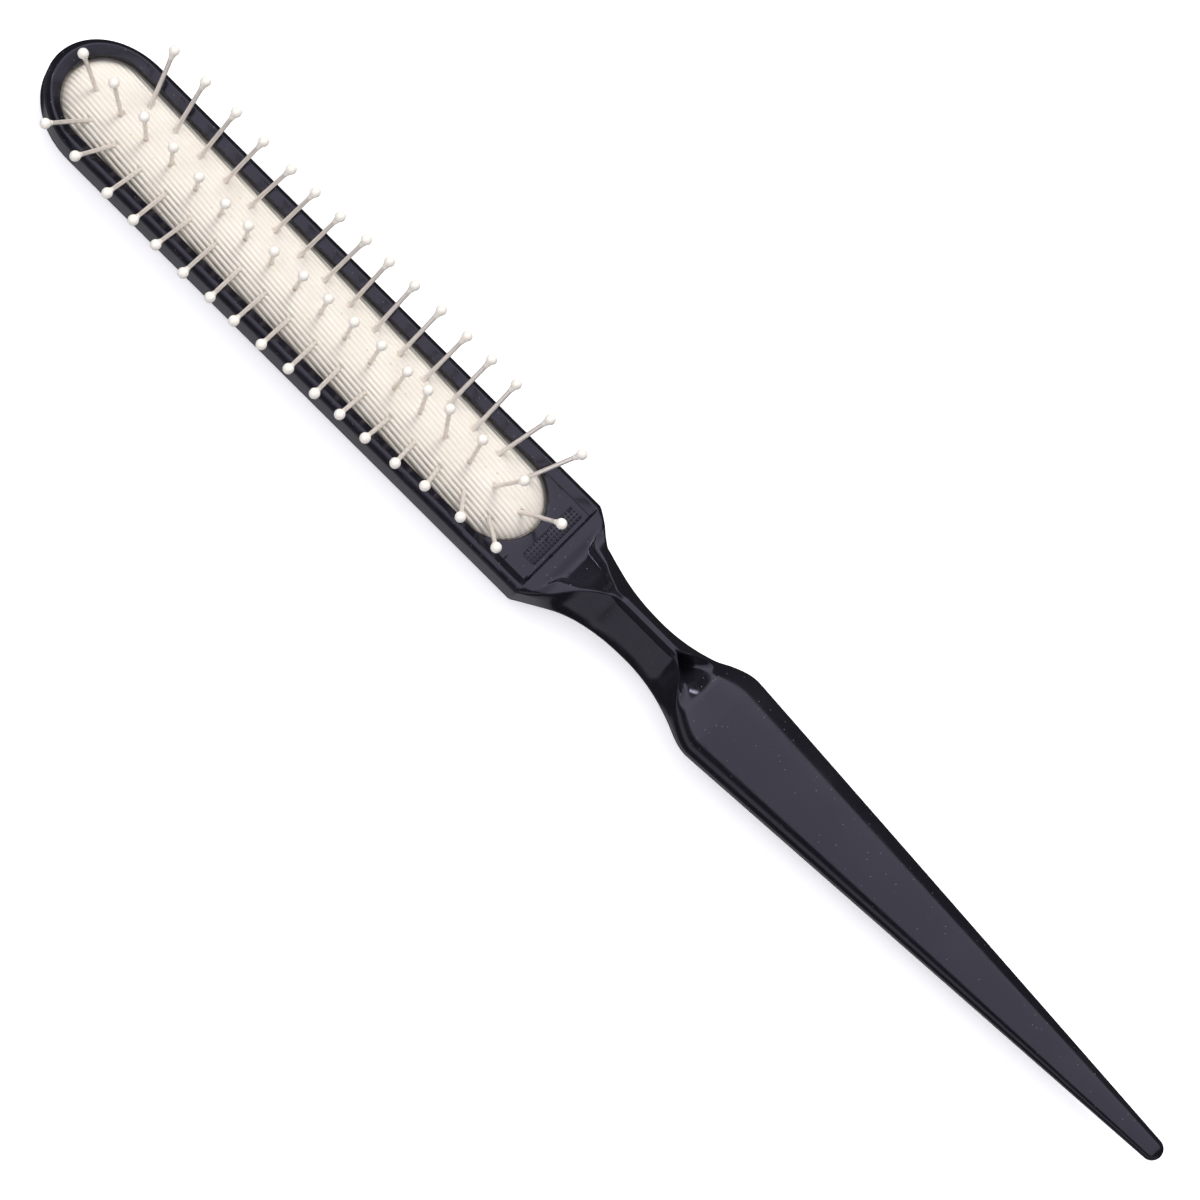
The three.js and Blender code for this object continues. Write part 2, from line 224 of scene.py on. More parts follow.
light = nodes.maths("ADD", nodes.maths("ADD", overhead, glow), nodes.maths("ADD", lamp, STUDIO_DARK))
studio = nodes.add("ShaderNodeBackground")
nodes.feed(studio.inputs["Color"], STUDIO_COLOUR)
nodes.feed(studio.inputs["Strength"], light)
backdrop = nodes.add("ShaderNodeBackground")
nodes.feed(backdrop.inputs["Color"], (1, 1, 1, 1))
nodes.feed(backdrop.inputs["Strength"], BACKDROP)
either = nodes.add("ShaderNodeMixShader")
nodes.feed(either.inputs[0], nodes.add("ShaderNodeLightPath").outputs["Is Camera Ray"])
nodes.feed(either.inputs[1], studio.outputs[0])
nodes.feed(either.inputs[2], backdrop.outputs[0])
nodes.feed(nodes.add("ShaderNodeOutputWorld").inputs["Surface"], either.outputs[0])

key = bpy.data.objects.new("key_light", bpy.data.lights.new("key_light", "AREA"))
key.data.size = KEY_SIZE
key.data.energy = KEY_ENERGY
key.data.color = KEY_COLOUR
key.location = KEY_PLACE
key.rotation_mode = "QUATERNION"
key.rotation_quaternion = (key.location - Vector(KEY_AIM)).to_track_quat("Z", "Y")
key.visible_glossy = False
key.visible_camera = False
bpy.context.scene.collection.objects.link(key)

# ---------------------------------------------------------------- moulding
# The head, neck and handle are one injection moulding in black polystyrene, polished in the mould.
# The head is a tray with a rounded back and a sloping rim, closed by a bar at the neck. A thin rib
# runs along the top of the neck between two hollows. Sizes are in millimetres.

NOSE_X = -111.1
TAIL_X = 111.1
HEAD_HALF = 9.05
NOSE_RADIUS = 11.5
BACK_RADIUS = 3.8
RIM_TOP = 9.0
BACK_FLAT_HALF = HEAD_HALF - BACK_RADIUS
BACK_MIDDLE = 2.6
SHOULDER_X = -10.9
BAR_END_X = -8.6
NECK_X = 7.1
NECK_HALF = 3.8
NECK_TOP = 13.8
NECK_LIFT = 1.8
NARROWING = 2.3  # power by which the shoulders draw in to the waist
RIDGE_HALF = 0.4
RIDGE_START_X = 0.0
RIDGE_END_X = 11.3
SHOULDER_FLARE = 1.4  # power by which the top widens towards the shoulders
HOLLOW_FLARE = 0.6  # how fast it widens again behind the rib
HOLLOW_FALL = 0.55  # how fast its edges drop there
WIDEST = 5.6
BELLY = 5.0
HANDLE_X = 22.7
HANDLE_HALF = 7.55
HANDLE_FLARE = 3.6  # how far the neck widens over this length, before it meets the handle's taper
HANDLE_FLARE_LENGTH = 13.6
FLARE_BLEND = 1.2
HANDLE_CROWN = 6.4
TIP_RADIUS = 1.7
TIP_LEVEL = 4.9
TIP_X = TAIL_X - TIP_RADIUS
TAPER = (HANDLE_HALF - TIP_RADIUS) / (TIP_X - HANDLE_X)
TRAY_FLOOR = 8.0
TRAY_HALF = 6.75
POCKET_NOSE_X = -108.2
POCKET_NECK_X = -15.3
POCKET_RADIUS = 7.1
POCKET_START_X = POCKET_NOSE_X + POCKET_RADIUS
POCKET_END_X = POCKET_NECK_X - POCKET_RADIUS
TRAY_WALL = (-11.15, -10.72)  # where the floor of the tray climbs to the bar
CREST_Y = 8.15  # the rim is highest here, then slopes in to the tray and out to the wall
CHAMFER_FOOT = 7.93
EDGE_ROUND = 0.3
LIP_ROUND = 0.15
LIP_Z = 8.14
RIB_HALF = 0.75  # foot of the rib, and how far below its top the foot lies
RIB_FOOT = 1.9
SCOOP_HALF = 4.2  # the hollow between the bar and the rib: half its width at the bar, its depth
SCOOP_DEPTH = 0.8
SCOOP_END_X = 0.3
SCOOP_NARROWING = 0.75
LEAST_SCOOP_HALF = 0.2
FLOOR_SHARE = 0.72
MOST_CORNER = 0.9
SHOULDER_ROUND = 0.25
RIB_ROUND = 0.2
CLIMB_SOFT = 0.03
CROWN_START_X = 18.4  # the handle's crown starts here, at the end of the slope out of the hollow
CROWN_SLOPE = 0.62
CROWN_SOFT = 0.4
RIB_END_SLOPE = 6.0  # the blunt end of the rib, where it drops into the hollow
WALL_FADE = (-10.2, -4.6)  # where the upright side of the head leans back into the neck's facet
SHOULDER_SLOPE = 0.55


def lerp(a, b, t):
    return a + (b - a) * t


def ease(x, low, high):
    t = min(max((x - low) / (high - low), 0.0), 1.0)
    return t * t * (3 - 2 * t)


def half_width(x):
    """Half the width of the neck and handle, from above."""
    if x > TIP_X:
        return math.sqrt(max(TIP_RADIUS**2 - (x - TIP_X) ** 2, 0))
    if x < NECK_X:
        along = min((NECK_X - x) / (NECK_X - SHOULDER_X), 1)
        return NECK_HALF + (HEAD_HALF - NECK_HALF) * along**NARROWING
    handle = HANDLE_HALF - TAPER * (x - HANDLE_X)
    flare = NECK_HALF + HANDLE_FLARE * ((x - NECK_X) / HANDLE_FLARE_LENGTH) ** 2
    merge = max(FLARE_BLEND - abs(flare - handle), 0)
    return min(flare, handle) - merge**2 / (4 * FLARE_BLEND)


def axis_height(x):
    """Level of the handle's greatest width."""
    return lerp(WIDEST, TIP_LEVEL, min(max((x - HANDLE_X) / (TIP_X - HANDLE_X), 0), 1))


def tapered(depth, x):
    """A depth of the handle at its thickest, carried down to the radius of the tip."""
    if x > TIP_X:
        return half_width(x)
    left = (half_width(x) - TIP_RADIUS) / (HANDLE_HALF - TIP_RADIUS)
    return lerp(TIP_RADIUS, depth, min(left, 1))


def ridge_height(x):
    """An even climb from the bar to the neck, softened at its foot and head."""
    share = (x - BAR_END_X) / (RIDGE_START_X + 1 - BAR_END_X)
    climb = 0.5 * (math.hypot(share, CLIMB_SOFT) - math.hypot(share - 1, CLIMB_SOFT) + 1)
    return lerp(RIM_TOP, NECK_TOP, min(max(climb, 0), 1)) if x > BAR_END_X - 1 else RIM_TOP


def top_height(x):
    if x <= RIDGE_END_X:
        return ridge_height(x)
    crown = HANDLE_CROWN if x < HANDLE_X else tapered(HANDLE_CROWN, x)
    ahead = max(CROWN_START_X - x, 0)
    slope = CROWN_SLOPE * max(ahead - CROWN_SOFT * (1 - math.exp(-ahead / CROWN_SOFT)), 0)
    hollow = axis_height(x) + crown - slope
    return max(hollow, NECK_TOP - RIB_END_SLOPE * (x - RIDGE_END_X))


def bottom_height(x):
    if x > HANDLE_X:
        return axis_height(x) - tapered(BELLY, x)
    lift = lerp(NECK_LIFT, WIDEST - BELLY, ease(x, NECK_X, HANDLE_X - 1))
    return lift * ease(x, SHOULDER_X - 1, NECK_X - 4)


def edge_half(x):
    """Half the width of the top between its two edges."""
    shoulderward = max((RIDGE_START_X - x) / (RIDGE_START_X - SHOULDER_X), 0)
    towards_head = lerp(RIDGE_HALF, HEAD_HALF, min(shoulderward, 1) ** SHOULDER_FLARE)
    towards_tail = RIDGE_HALF + HOLLOW_FLARE * max(x - RIDGE_END_X, 0)
    return min(max(towards_head, towards_tail), half_width(x))


def turn_points(centre, radius, start, end, count):
    """Points round an arc, its angles in degrees from level."""
    turns = [math.radians(lerp(start, end, i / (count - 1))) for i in range(count)]
    return [(centre[0] + radius * math.cos(t), centre[1] + radius * math.sin(t)) for t in turns]


def rounded(before, corner, after, radius, count=3):
    """A corner of an outline drawn as a short curve."""
    before, corner, after = Vector(before), Vector(corner), Vector(after)
    start = corner + (before - corner).normalized() * min(radius, 0.45 * (before - corner).length)
    end = corner + (after - corner).normalized() * min(radius, 0.45 * (after - corner).length)
    curve = []
    for i in range(count):
        t = i / (count - 1)
        curve.append(tuple(start.lerp(corner, t).lerp(corner.lerp(end, t), t)))
    return curve


def head_profile():
    """Half of the head's cross-section, from under the back, round the rim and down into the pocket."""
    back = turn_points((BACK_FLAT_HALF, BACK_RADIUS), BACK_RADIUS, -90, 0, BACK_POINTS)
    wall = (HEAD_HALF, CHAMFER_FOOT)
    crest = (CREST_Y, RIM_TOP)
    lip = (TRAY_HALF, LIP_Z)
    chamfer = rounded(back[-1], wall, crest, EDGE_ROUND)
    top = rounded(wall, crest, lip, EDGE_ROUND, 4)
    edge = rounded(crest, lip, (TRAY_HALF, TRAY_FLOOR), LIP_ROUND)
    ledge = [(TRAY_HALF, TRAY_FLOOR - depth) for depth in LEDGE_DEPTHS]
    return [(0, 0), (BACK_MIDDLE, 0), *back, *chamfer, *top, *edge, *ledge]


BACK_POINTS = 7
LEDGE_DEPTHS = (0, 0.01, 0.02, 0.05, 0.1)
LEDGE_ROWS = len(LEDGE_DEPTHS)
HEAD = head_profile()
ROWS = len(HEAD)
WIDEST_ROW = 8  # the last row of the rounded back
EDGE_ROW = 13  # the crest of the rim
LEDGE_ROW = ROWS - LEDGE_ROWS
POCKET = [
    (TRAY_HALF, 6.3), (7.6, 6.2), (7.6, 4.7), (TRAY_HALF, 4.6),
    (TRAY_HALF, 2.5), (6.5, 2.3), (4.4, 2.3), (2.2, 2.3), (0, 2.3),
]


def pocket_reach(width):
    """How far an end of the pocket reaches along the brush for a half width across it."""
    return width * POCKET_RADIUS / TRAY_HALF if width < TRAY_HALF else width + POCKET_RADIUS - TRAY_HALF


def neck_profile(x):
    """Half of the neck's or handle's cross-section, row for row with the head's."""
    a = half_width(x)
    top = top_height(x)
    bottom = bottom_height(x)
    widest = lerp(BACK_RADIUS, axis_height(x), ease(x, SHOULDER_X, SHOULDER_X + 9))
    corner = min(lerp(BACK_RADIUS, a, ease(x, SHOULDER_X, NECK_X)), MOST_CORNER * a)
    points = [(0, bottom), ((a - corner) / 2, bottom)]
    for i in range(BACK_POINTS):
        quarter = math.pi / 2 * i / (BACK_POINTS - 1)
        points.append((a - corner * (1 - math.sin(quarter)), lerp(widest, bottom, math.cos(quarter))))

    rise = ridge_height(x) - HOLLOW_FALL * max(x - RIDGE_END_X, 0)
    half = edge_half(x)
    scooped = ease(x, BAR_END_X - 0.6, BAR_END_X + 1.2) * ease(-x, -0.3, 1.2)
    narrowing = max((SCOOP_END_X - x) / (SCOOP_END_X - BAR_END_X), 0) ** SCOOP_NARROWING
    scoop_half = min(max(SCOOP_HALF * narrowing, LEAST_SCOOP_HALF), MOST_CORNER * half)
    crest_half = lerp(half, scoop_half, scooped)
    ribbed = ease(x, -1.5, 0.8) * (1 - ease(x, RIDGE_END_X - 0.5, RIDGE_END_X + 1.5))
    drop = SHOULDER_SLOPE * (half - crest_half) * scooped
    foot = Vector((a, widest))
    crest = Vector((crest_half, rise))
    shoulder = Vector((lerp(half, max(half, RIB_HALF), ribbed), rise - drop - RIB_FOOT * ribbed))
    facet = [tuple(foot.lerp(shoulder, t)) for t in (0.35, 0.7)]
    facet += rounded(foot, shoulder, crest, SHOULDER_ROUND)
    crest_round = lerp(EDGE_ROUND, RIB_ROUND, ribbed)
    facet += rounded(shoulder, crest + Vector((0.02, 0)), (0, rise), crest_round, 4)

    # From the crest in to the middle: the hollow's steep side, then its floor.
    brink_half = facet[-1][0]
    floor_half = FLOOR_SHARE * crest_half
    floor_drop = SCOOP_DEPTH * scooped * min(crest_half / 2, 1)
    past_rib = ease(x, RIDGE_END_X, RIDGE_END_X + 0.5)
    inner = ROWS - WIDEST_ROW - 1 - len(facet)
    for i in range(1, inner + 1):
        t = i / inner
        y = brink_half * (1 - t)
        sunk = floor_drop * ease(-y, -0.97 * brink_half, -floor_half)
        dip = min(t * lerp(1, 3, past_rib), 1)
        facet.append((y, lerp(rise, top, dip) - sunk))

    round_top = ease(x, RIDGE_END_X + 2.4, CROWN_START_X + 0.4)
    for i, point in enumerate(facet):
        quarter = math.pi / 2 * (i + 1) / len(facet)
        oval = Vector((a * math.cos(quarter), lerp(widest, top, math.sin(quarter))))
        points.append(tuple(Vector(point).lerp(oval, round_top)))
    return points


def moulding_profile(x):
    """The cross-section at a station past the tray: head, bar and neck blended in turn."""
    squeeze = half_width(x) / HEAD_HALF
    flat = [
        (y * squeeze, lerp(z, RIM_TOP, min(max(row - EDGE_ROW, 0), 1)))
        for row, (y, z) in enumerate(HEAD)
    ]
    for i in range(LEDGE_ROWS):
        flat[LEDGE_ROW + i] = (TRAY_HALF * squeeze * (1 - i / (LEDGE_ROWS - 1)), RIM_TOP)
    inner = ease(x, TRAY_WALL[1], BAR_END_X)
    outer = ease(x, *WALL_FADE)
    spreads = [outer if row <= EDGE_ROW else inner for row in range(ROWS)]
    return [
        (lerp(y, ny, spread), lerp(z, nz, spread))
        for (y, z), (ny, nz), spread in zip(flat, neck_profile(x), spreads)
    ]


stations = []  # each a list of one point (x, y, z) per row
NOSE_STEPS = 20
for step in range(NOSE_STEPS + 1):
    turn = math.pi / 2 * (1 - step / NOSE_STEPS)
    ring = []
    for row, (y, z) in enumerate(HEAD):
        if row <= WIDEST_ROW:
            middle_x, reach = NOSE_X + NOSE_RADIUS, y + NOSE_RADIUS - HEAD_HALF
            if row < 3:
                reach = y * (BACK_FLAT_HALF + NOSE_RADIUS - HEAD_HALF) / BACK_FLAT_HALF
        else:
            share = min((HEAD_HALF - y) / (HEAD_HALF - TRAY_HALF), 1)
            middle_x = lerp(NOSE_X + NOSE_RADIUS, POCKET_START_X, share)
            reach = lerp(NOSE_RADIUS, POCKET_RADIUS, share)
        ring.append((middle_x - reach * math.sin(turn), y * math.cos(turn), z))
    stations.append(ring)
STRAIGHT_STATIONS = 20
straight = np.linspace(NOSE_X + NOSE_RADIUS, POCKET_END_X, STRAIGHT_STATIONS)[1:]
for x in straight:
    stations.append([(x, y, z) for y, z in HEAD])
POCKET_STEPS = 16
for step in range(1, POCKET_STEPS + 1):
    turn = math.pi / 2 * step / POCKET_STEPS
    x = POCKET_END_X + POCKET_RADIUS * step / POCKET_STEPS
    ring = [(x, y, z) for y, z in HEAD[:LEDGE_ROW]]
    brink = (POCKET_END_X + POCKET_RADIUS * math.sin(turn), TRAY_HALF * math.cos(turn))
    for i, (y, z) in enumerate(HEAD[LEDGE_ROW:]):
        share = i / (LEDGE_ROWS - 1)
        ring.append((lerp(x, brink[0], share), lerp(y, brink[1], share), z))
    stations.append(ring)
pocket_last = len(stations) - 1
tray_stations = [-15.2, -14.4, -13.4, -12.4, -11.6, -11.25]
tray_stations += list(np.linspace(*TRAY_WALL, 7))
bar_profile = moulding_profile(TRAY_WALL[1])
floor_profile = HEAD[:LEDGE_ROW]
floor_profile += [(TRAY_HALF * (1 - i / (LEDGE_ROWS - 1)), TRAY_FLOOR) for i in range(LEDGE_ROWS)]
for x in tray_stations:
    climb = ease(x, *TRAY_WALL)
    stations.append([
        (x, lerp(y, by, climb), lerp(z, bz, climb))
        for (y, z), (by, bz) in zip(floor_profile, bar_profile)
    ])
NECK_STATIONS = 84
HANDLE_STATIONS = 60
TIP_STATIONS = 12
neck_stations = np.concatenate([
    np.linspace(TRAY_WALL[1] + 0.1, HANDLE_X, NECK_STATIONS),
    np.linspace(HANDLE_X, TIP_X, HANDLE_STATIONS)[1:],
    TIP_X + TIP_RADIUS * np.sin(np.linspace(0, math.pi / 2, TIP_STATIONS)[1:-1]),
])
for x in neck_stations:
    stations.append([(x, y, z) for y, z in moulding_profile(x)])


def weld(piece, distance):
    """Joins the points that lie on each other and drops the faces that this closes up."""
    made = bmesh.new()
    made.from_mesh(piece.data)
    bmesh.ops.remove_doubles(made, verts=made.verts, dist=distance)
    bmesh.ops.dissolve_degenerate(made, edges=made.edges, dist=distance)
    bmesh.ops.recalc_face_normals(made, faces=made.faces)
    made.to_mesh(piece.data)
    made.free()


def mirrored(points, faces):
    """The half on the left with its mirror image on the right."""
    count = len(points)
    points = points + [(x, -y, z) for x, y, z in points]
    return points, faces + [tuple(i + count for i in reversed(face)) for face in faces]


points = [p for ring in stations for p in ring]
faces = []
for s in range(len(stations) - 1):
    for r in range(ROWS - 1):
        a = s * ROWS + r
        faces.append((a, a + 1, a + ROWS + 1, a + ROWS))
tail_centre = len(points)
points.append((TAIL_X, 0, TIP_LEVEL))
last = (len(stations) - 1) * ROWS
faces += [(last + r, last + r + 1, tail_centre) for r in range(ROWS - 1)]

# The pocket under the cushion hangs from the inner edge of the ledge.
pocket_rings = []
for s in range(pocket_last + 1):
    brink = stations[s][-1]
    ring = [brink]
    for width, z in POCKET:
        if s <= NOSE_STEPS:
            turn = math.pi / 2 * (1 - s / NOSE_STEPS)
            x = POCKET_START_X - pocket_reach(width) * math.sin(turn)
            ring.append((x, width * math.cos(turn), z))
        elif s > NOSE_STEPS + len(straight):
            turn = math.pi / 2 * (s - NOSE_STEPS - len(straight)) / POCKET_STEPS
            x = POCKET_END_X + pocket_reach(width) * math.sin(turn)
            ring.append((x, width * math.cos(turn), z))
        else:
            ring.append((brink[0], width, z))
    pocket_rings.append(ring)
base = len(points)
depth = len(POCKET) + 1
points += [p for ring in pocket_rings for p in ring]
for s in range(pocket_last):
    for r in range(depth - 1):
        a = base + s * depth + r
        faces.append((a, a + 1, a + depth + 1, a + depth))


def surface_scuffs():
    """Group: fine random hairlines from handling, as a mask and as a height."""
    tree = bpy.data.node_groups.new("hairlines", "ShaderNodeTree")
    tree.interface.new_socket("Fineness", in_out="INPUT", socket_type="NodeSocketFloat")
    tree.interface.new_socket("Amount", in_out="INPUT", socket_type="NodeSocketFloat")
    tree.interface.new_socket("Mask", in_out="OUTPUT", socket_type="NodeSocketFloat")
    tree.interface.new_socket("Height", in_out="OUTPUT", socket_type="NodeSocketFloat")
    nodes = Nodes(tree)
    given = nodes.add("NodeGroupInput")
    place = nodes.add("ShaderNodeTexCoord").outputs["Object"]
    lines = []
    for turn, stretch in ((0.25, 22.0), (-0.6, 16.0), (1.35, 12.0)):
        turned = nodes.add("ShaderNodeMapping")
        nodes.feed(turned.inputs["Vector"], place)
        nodes.feed(turned.inputs["Rotation"], (0.15, 0.1, turn))
        nodes.feed(turned.inputs["Scale"], (1.0, stretch, stretch))
        noise = nodes.add("ShaderNodeTexNoise")
        nodes.feed(noise.inputs["Vector"], turned.outputs[0])
        nodes.feed(noise.inputs["Scale"], given.outputs["Fineness"])
        nodes.feed(noise.inputs["Detail"], 3.0)
        lines.append(nodes.ramp(noise.outputs["Fac"], 0.63, 0.72))
    together = nodes.maths("MAXIMUM", nodes.maths("MAXIMUM", lines[0], lines[1]), lines[2])
    mask = nodes.maths("MULTIPLY", together, given.outputs["Amount"], clamp=True)
    result = nodes.add("NodeGroupOutput")
    nodes.feed(result.inputs["Mask"], mask)
    nodes.feed(result.inputs["Height"], nodes.maths("MULTIPLY", mask, -1.0))
    return tree


def settled_dust():
    """Group: specks and a faint film of dust, denser on what faces up."""
    tree = bpy.data.node_groups.new("dust", "ShaderNodeTree")
    tree.interface.new_socket("Speck Scale", in_out="INPUT", socket_type="NodeSocketFloat")
    tree.interface.new_socket("Film", in_out="INPUT", socket_type="NodeSocketFloat")
    tree.interface.new_socket("Mask", in_out="OUTPUT", socket_type="NodeSocketFloat")
    nodes = Nodes(tree)
    given = nodes.add("NodeGroupInput")
    place = nodes.add("ShaderNodeTexCoord").outputs["Object"]
    cells = nodes.add("ShaderNodeTexVoronoi", feature="F1")
    nodes.feed(cells.inputs["Vector"], place)
    nodes.feed(cells.inputs["Scale"], given.outputs["Speck Scale"])
    colour = nodes.add("ShaderNodeSeparateColor")
    nodes.feed(colour.inputs[0], cells.outputs["Color"])
    rare = nodes.ramp(colour.outputs[0], 0.8, 0.82)
    speck = nodes.maths("MULTIPLY", nodes.ramp(cells.outputs["Distance"], 0.08, 0.2, 1, 0), rare)
    cloud = nodes.add("ShaderNodeTexNoise")
    nodes.feed(cloud.inputs["Vector"], place)
    nodes.feed(cloud.inputs["Scale"], 90.0)
    nodes.feed(cloud.inputs["Detail"], 5.0)
    film = nodes.maths("MULTIPLY", nodes.ramp(cloud.outputs["Fac"], 0.45, 0.75), given.outputs["Film"])
    facing = nodes.add("ShaderNodeSeparateXYZ")
    nodes.feed(facing.inputs[0], nodes.add("ShaderNodeNewGeometry").outputs["Normal"])
    upward_share = nodes.ramp(facing.outputs[2], 0.1, 0.9)
    mask = nodes.maths("MULTIPLY", nodes.maths("ADD", speck, film), upward_share, clamp=True)
    nodes.feed(nodes.add("NodeGroupOutput").inputs["Mask"], mask)
    return tree


HAIRLINES = surface_scuffs()
DUST = settled_dust()


def placed(nodes, group, **values):
    """A copy of a node group in a material, with its own values."""
    node = nodes.add("ShaderNodeGroup", node_tree=group)
    for name, value in values.items():
        nodes.feed(node.inputs[name.replace("_", " ")], value)
    return node


black, nodes, shader = new_material("black_gloss")
scuffs = placed(nodes, HAIRLINES, Fineness=420.0, Amount=0.55)
dust = placed(nodes, DUST, Speck_Scale=1500.0, Film=0.05)
swirl = nodes.add("ShaderNodeTexNoise")
nodes.feed(swirl.inputs["Vector"], nodes.add("ShaderNodeTexCoord").outputs["Object"])
nodes.feed(swirl.inputs["Scale"], 160.0)
nodes.feed(swirl.inputs["Detail"], 4.0)
tone = nodes.blend(swirl.outputs["Fac"], (0.0075, 0.0072, 0.0098, 1), (0.011, 0.0105, 0.0145, 1))
nodes.feed(shader.inputs["Base Color"], nodes.blend(dust.outputs["Mask"], tone, (0.09, 0.088, 0.09, 1)))
rough = nodes.ramp(swirl.outputs["Fac"], 0.3, 0.7, 0.12, 0.15)
rough = nodes.maths("ADD", rough, nodes.maths("MULTIPLY", scuffs.outputs["Mask"], 0.12))
rough = nodes.maths("ADD", rough, nodes.maths("MULTIPLY", dust.outputs["Mask"], 0.4))
nodes.feed(shader.inputs["Roughness"], rough)
nodes.feed(shader.inputs["IOR"], 1.54)
nodes.feed(shader.inputs["Specular Tint"], (0.86, 0.83, 1.0, 1))
ripple = nodes.add("ShaderNodeBump")
nodes.feed(ripple.inputs["Strength"], 0.12)
nodes.feed(ripple.inputs["Distance"], 0.00004)
nodes.feed(ripple.inputs["Height"], nodes.maths("ADD", swirl.outputs["Fac"], scuffs.outputs["Height"]))
nodes.feed(shader.inputs["Normal"], ripple.outputs["Normal"])

WELD_DISTANCE = 2e-6
FLAT_FACET_WEIGHT = 60

points, faces = mirrored(points, faces)
moulding = new_piece("moulding", points, faces, black)
weld(moulding, WELD_DISTANCE)
moulding.data.shade_smooth()
moulding.modifiers.new("flat facets", "WEIGHTED_NORMAL").weight = FLAT_FACET_WEIGHT
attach(moulding, "brush")
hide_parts("handle_body")

# ---------------------------------------------------------------- stippled panel
# A low raised panel moulded on the tray's floor between the cushion and the bar, with rows of
# small round pips on it, in the same black plastic.

PANEL_X = (-14.0, -11.7)
PANEL_Y = (-4.3, 6.0)
PANEL_RISE = 0.18
PANEL_SUNK = 0.05
PANEL_CORNER = 0.25
PANEL_MARGIN = 0.3
PIP_RADIUS = 0.2
PIP_RISE = 0.2
PIP_PITCH = 0.6


def ball_cap(points, faces, centre, radius, rise, sides=8):
    """Adds a low dome to a mesh in the making."""
    first = len(points)
    for share in (1.0, 0.75, 0.4):
        height = rise * math.sqrt(1 - share**2) if share < 1 else -0.05
        for i in range(sides):
            turn = 2 * math.pi * i / sides
            points.append((centre[0] + share * radius * math.cos(turn),
                           centre[1] + share * radius * math.sin(turn), centre[2] + height))
    points.append((centre[0], centre[1], centre[2] + rise))
    for ring in range(2):
        for i in range(sides):
            a, b = first + ring * sides + i, first + ring * sides + (i + 1) % sides
            faces.append((a, b, b + sides, a + sides))
    for i in range(sides):
        faces.append((first + 2 * sides + i, first + 2 * sides + (i + 1) % sides, first + 3 * sides))
    faces.append(tuple(first + i for i in reversed(range(sides))))


panel_points = []
panel_faces = []
foot_z = TRAY_FLOOR - PANEL_SUNK
top_z = TRAY_FLOOR + PANEL_RISE
cuts = ((0, PANEL_CORNER), (PANEL_CORNER, 0))  # the two ends of a corner cut off the panel
for inset, z in ((0, foot_z), (0.02, top_z - 0.06), (0.08, top_z)):
    for x, y in ((0, 0), (1, 0), (1, 1), (0, 1)):
        corner_x = PANEL_X[x] + inset * (1 - 2 * x)
        corner_y = PANEL_Y[y] + inset * (1 - 2 * y)
        for dx, dy in reversed(cuts) if (x + y) % 2 else cuts:
            panel_points.append((corner_x + dx * (1 - 2 * x), corner_y + dy * (1 - 2 * y), z))
for ring in range(2):
    for i in range(8):
        a, b = ring * 8 + i, ring * 8 + (i + 1) % 8
        panel_faces.append((a, b, b + 8, a + 8))
panel_faces.append(tuple(range(16, 24)))
panel_faces.append(tuple(reversed(range(8))))
pip_columns = int((PANEL_X[1] - PANEL_X[0] - PANEL_MARGIN) / PIP_PITCH)
pip_rows = int((PANEL_Y[1] - PANEL_Y[0] - PANEL_MARGIN) / PIP_PITCH)
for column in range(pip_columns + 1):
    for row in range(pip_rows + 1):
        x = (PANEL_X[0] + PANEL_X[1]) / 2 + (column - pip_columns / 2) * PIP_PITCH
        y = (PANEL_Y[0] + PANEL_Y[1]) / 2 + (row - pip_rows / 2) * PIP_PITCH
        ball_cap(panel_points, panel_faces, (x, y, top_z), PIP_RADIUS, PIP_RISE)
panel = new_piece("stippled_panel", panel_points, panel_faces, black)
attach(panel, "brush")

# ---------------------------------------------------------------- rubber cushion
# A pneumatic pad moulded in ivory rubber: crowned, with fine ribs along it that lie a little askew,
# and a bead round its foot that snaps into the undercut of the pocket. The pins dimple it.

CUSHION_HALF = 6.5
CUSHION_REACH = 6.85
CUSHION_EDGE = 6.5
CUSHION_CROWN = 1.6
RIB_PITCH = 0.70
RIB_DEPTH = 0.2
RIB_SKEW = 0.078
RIB_POWER = 1.6  # narrows the grooves and widens the ribs between them
DIMPLE_DEPTH = 0.32
DIMPLE_RADIUS = 0.5
DIMPLE_LIP = 0.1  # the rubber that a pin's dimple pushes up round itself
BEAD_OUT = 0.8
BEAD_TOP = 5.9
BEAD_FOOT = 5.0
BEAD_ROUND = 0.15

pins = []  # name, joint point, direction, body
for joint in frame["joints"]:
    node = joint["name"].replace("_rock", "")
    pivot = Vector(joint["pos_m"]) / MM
    corners = [v.co / MM for v in frame["nodes"][node].data.vertices]
    summit = max(corners, key=lambda p: (p - pivot).length)
    pins.append((node, pivot, (summit - pivot).normalized(), joint["child"]))
PIVOT_BELOW = 1.0
roots = np.array([tuple(pivot + PIVOT_BELOW * lean) for _, pivot, lean, _ in pins])


def cushion_half(x):
    past = max(POCKET_START_X - x, x - POCKET_END_X, 0)
    return CUSHION_HALF * math.sqrt(max(1 - (past / CUSHION_REACH) ** 2, 0))


